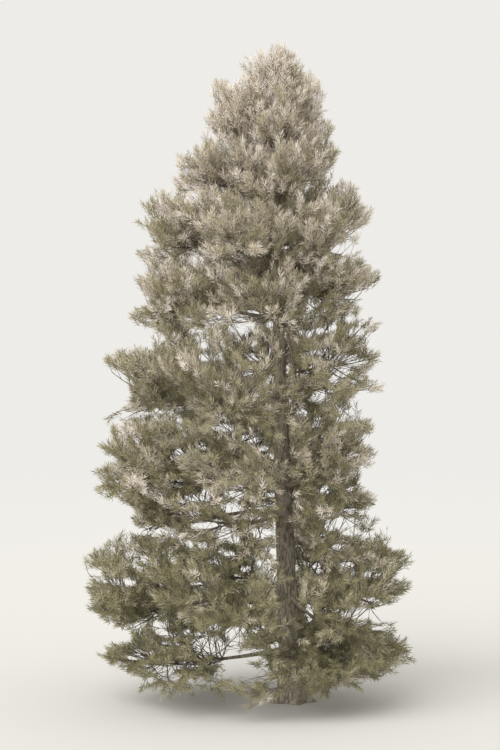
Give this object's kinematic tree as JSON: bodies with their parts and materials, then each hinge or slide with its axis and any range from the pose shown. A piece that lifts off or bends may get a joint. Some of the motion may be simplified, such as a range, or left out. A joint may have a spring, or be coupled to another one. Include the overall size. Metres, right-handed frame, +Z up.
{
  "type": "mountain pine tree",
  "caption": "Tall, dense mountain pine with one leaning, tapering trunk, short boughs and tiers of needle foliage from near the ground to a blunt top.",
  "frame": {"origin": "centre of the flat cut under the trunk, at ground level", "axes": "+Z up the tree, +X towards the picture's right, +Y away from the camera"},
  "size_m": [6.3477, 6.1323, 12.75],
  "materials": {
    "bark": "rough, furrowed grey-brown bark",
    "needles": "matte to slightly glossy olive green needles"
  },
  "bodies": {
    "root": {"trunk": "bark", "bough_knee_back": "bark", "bough_knee_front": "bark", "bough_knee_left": "bark", "bough_low_left": "bark", "bough_low_left_back": "bark", "bough_low_left_front": "bark", "bough_low_right_back": "bark", "bough_low_right_front": "bark", "bough_lower_left": "bark", "bough_lower_left_front": "bark", "bough_middle_back": "bark", "bough_middle_left": "bark", "bough_middle_left_front": "bark", "bough_skirt_left": "bark", "bough_waist_left": "bark", "foliage_crown_front": "needles", "foliage_crown_left": "needles", "foliage_crown_right_back": "needles", "foliage_knee_back": "needles", "foliage_knee_front": "needles", "foliage_knee_left": "needles", "foliage_knee_right_back": "needles", "foliage_knee_right_front": "needles", "foliage_low_left": "needles", "foliage_low_left_back": "needles", "foliage_low_left_front": "needles", "foliage_low_right": "needles", "foliage_low_right_back": "needles", "foliage_low_right_front": "needles", "foliage_lower_back": "needles", "foliage_lower_left": "needles", "foliage_lower_left_front": "needles", "foliage_lower_right": "needles", "foliage_lower_right_front": "needles", "foliage_middle_back": "needles", "foliage_middle_left": "needles", "foliage_middle_left_front": "needles", "foliage_middle_right_back": "needles", "foliage_middle_right_front": "needles", "foliage_shoulder_back": "needles", "foliage_shoulder_front": "needles", "foliage_shoulder_left": "needles", "foliage_shoulder_right": "needles", "foliage_skirt_left": "needles", "foliage_skirt_right_back": "needles", "foliage_skirt_right_front": "needles", "foliage_top": "needles", "foliage_upper_back": "needles", "foliage_upper_left": "needles", "foliage_upper_left_front": "needles", "foliage_upper_right_back": "needles", "foliage_upper_right_front": "needles", "foliage_waist_front": "needles", "foliage_waist_left": "needles", "foliage_waist_left_back": "needles", "foliage_waist_right_back": "needles", "foliage_waist_right_front": "needles"}
  },
  "joints": []
}
